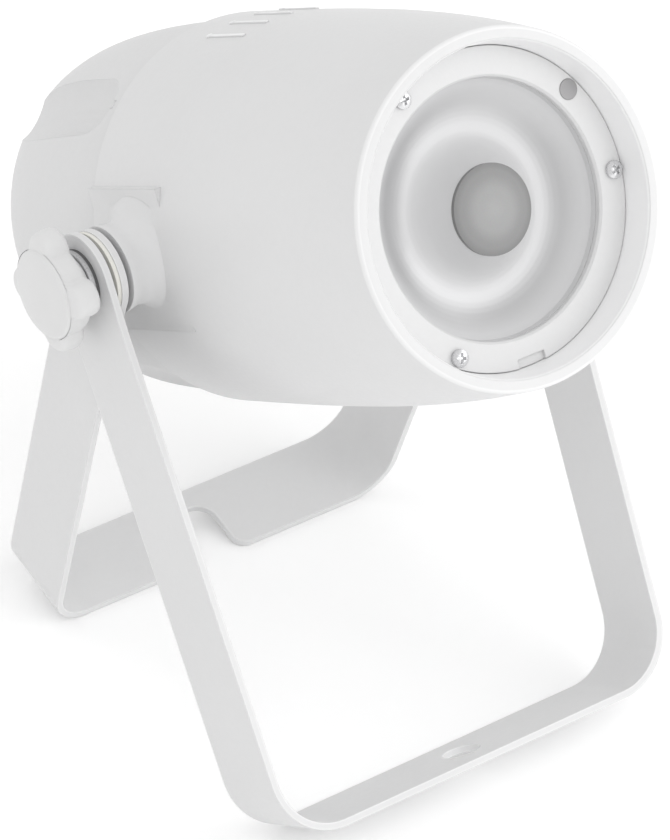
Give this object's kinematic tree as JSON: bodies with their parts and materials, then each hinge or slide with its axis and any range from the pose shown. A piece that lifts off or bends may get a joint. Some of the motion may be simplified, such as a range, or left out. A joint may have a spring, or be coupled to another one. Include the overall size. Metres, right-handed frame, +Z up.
{
  "type": "par can light",
  "caption": "Compact par can stage light: tilting barrel head with a recessed lens in a double strap bracket that opens into a floor stand.",
  "frame": {"origin": "on the floor, under the middle of the light's bounding box", "axes": "+Z up, beam towards -Y (tilted up in the rest pose), X along the pivot axis"},
  "size_m": [0.1992, 0.2492, 0.2729],
  "materials": {
    "body_paint": "satin white powder coat",
    "tail_paint": "satin white powder coat",
    "bracket_paint": "satin white powder coat",
    "ring_paint": "satin white powder coat",
    "knob_plastic": "moulded, fine texture",
    "button_plastic": "moulded",
    "black_plastic": "moulded",
    "panel_paint": "white powder coat",
    "reflector_metal": "satin spun",
    "lens_glass": "smoked",
    "window_plastic": "smoked",
    "heat_sink_metal": "raw",
    "barrel_plastic": "moulded",
    "led_ceramic": "ceramic",
    "led_phosphor": "silicone",
    "steel": "zinc plated",
    "screw_steel": "zinc plated",
    "brass": "machined",
    "gold_contact": "plated",
    "rubber": "matt",
    "circuit_board": "solder mask",
    "component_plastic": "moulded",
    "transformer_core": "ferrite",
    "nylon": "moulded",
    "wire_red": "insulation",
    "fuse_glass": "clear with metal caps"
  },
  "bodies": {
    "head": {"front_housing": "body_paint", "rear_housing": "tail_paint", "rear_panel": "panel_paint", "rear_panel_screws": "screw_steel", "shell_screws": "screw_steel", "retaining_ring": "ring_paint", "ring_screws": "screw_steel", "reflector": "reflector_metal", "ring_gasket": "rubber", "center_lens": "lens_glass", "lens_barrel": "barrel_plastic", "barrel_screws": "screw_steel", "led_board": "led_ceramic", "led_emitter": "led_phosphor", "heat_sink": "heat_sink_metal", "heat_sink_screws": "screw_steel", "ir_window": "window_plastic", "ir_receiver": "component_plastic", "chassis_plate": "steel", "chassis_screws": "screw_steel", "board_standoffs": "nylon", "power_board": "circuit_board", "power_parts": "component_plastic", "power_transformer": "transformer_core", "control_board": "circuit_board", "control_parts": "component_plastic", "control_spacers": "nylon", "display_module": "component_plastic", "display_window": "window_plastic", "power_inlet": "black_plastic", "inlet_pins": "steel", "signal_input": "black_plastic", "input_pins": "gold_contact", "signal_output": "black_plastic", "output_contacts": "gold_contact", "connector_screws": "screw_steel", "safety_eyelet": "steel", "inside_wires": "wire_red", "pivot_insert_left": "brass", "pivot_insert_right": "brass", "boss_washers": "rubber"},
    "front_bracket": {"front_bracket": "bracket_paint", "spacer_washers": "nylon", "bracket_washers": "rubber", "pad_washers": "rubber"},
    "rear_bracket": {"rear_bracket": "bracket_paint"},
    "knob_washer_left": {"knob_washer_left": "steel"},
    "knob_left": {"knob_left": "knob_plastic", "knob_stud_left": "steel"},
    "knob_washer_right": {"knob_washer_right": "steel"},
    "knob_right": {"knob_right": "knob_plastic", "knob_stud_right": "steel"},
    "menu_button_1": {"menu_button_1": "button_plastic"},
    "menu_button_2": {"menu_button_2": "button_plastic"},
    "menu_button_3": {"menu_button_3": "button_plastic"},
    "menu_button_4": {"menu_button_4": "button_plastic"},
    "fuse_drawer": {"fuse_drawer": "black_plastic", "fuse": "fuse_glass"},
    "output_latch": {"output_latch": "steel"}
  },
  "joints": [
    {"name": "head_tilt", "type": "hinge", "parent": "front_bracket", "child": "head", "pos_m": [0, 0.0059, 0.16803], "axis": [1, 0, 0], "range_deg": [-75, 110]},
    {"name": "rear_bracket_swing", "type": "hinge", "parent": "front_bracket", "child": "rear_bracket", "pos_m": [0, 0.0059, 0.16803], "axis": [1, 0, 0], "range_deg": [-47, 100]},
    {"name": "knob_left_travel", "type": "slide", "parent": "head", "child": "knob_washer_left", "axis": [-1, 0, 0], "range_m": [0, 0.002]},
    {"name": "knob_left_turn", "type": "hinge", "parent": "knob_washer_left", "child": "knob_left", "pos_m": [0, 0.0059, 0.16803], "axis": [-1, 0, 0], "range_deg": [0, 577]},
    {"name": "knob_right_travel", "type": "slide", "parent": "head", "child": "knob_washer_right", "axis": [1, 0, 0], "range_m": [0, 0.002]},
    {"name": "knob_right_turn", "type": "hinge", "parent": "knob_washer_right", "child": "knob_right", "pos_m": [0, 0.0059, 0.16803], "axis": [1, 0, 0], "range_deg": [0, 577]},
    {"name": "menu_button_1_press", "type": "slide", "parent": "head", "child": "menu_button_1", "axis": [0, -0.8554, 0.518], "range_m": [0, 0.0008], "stiffness_N_per_m": 400},
    {"name": "menu_button_2_press", "type": "slide", "parent": "head", "child": "menu_button_2", "axis": [0, -0.8554, 0.518], "range_m": [0, 0.0008], "stiffness_N_per_m": 400},
    {"name": "menu_button_3_press", "type": "slide", "parent": "head", "child": "menu_button_3", "axis": [0, -0.8554, 0.518], "range_m": [0, 0.0008], "stiffness_N_per_m": 400},
    {"name": "menu_button_4_press", "type": "slide", "parent": "head", "child": "menu_button_4", "axis": [0, -0.8554, 0.518], "range_m": [0, 0.0008], "stiffness_N_per_m": 400},
    {"name": "fuse_drawer_slide", "type": "slide", "parent": "head", "child": "fuse_drawer", "axis": [0, 0.8554, -0.518], "range_m": [0, 0.017]},
    {"name": "output_latch_press", "type": "slide", "parent": "head", "child": "output_latch", "axis": [0, -0.8554, 0.518], "range_m": [0, 0.0012], "stiffness_N_per_m": 600}
  ],
  "couplings": [
    {"joint": "knob_left_turn", "follows": "knob_left_travel", "rad_per_m": 5026.5},
    {"joint": "knob_right_turn", "follows": "knob_right_travel", "rad_per_m": 5026.5}
  ]
}
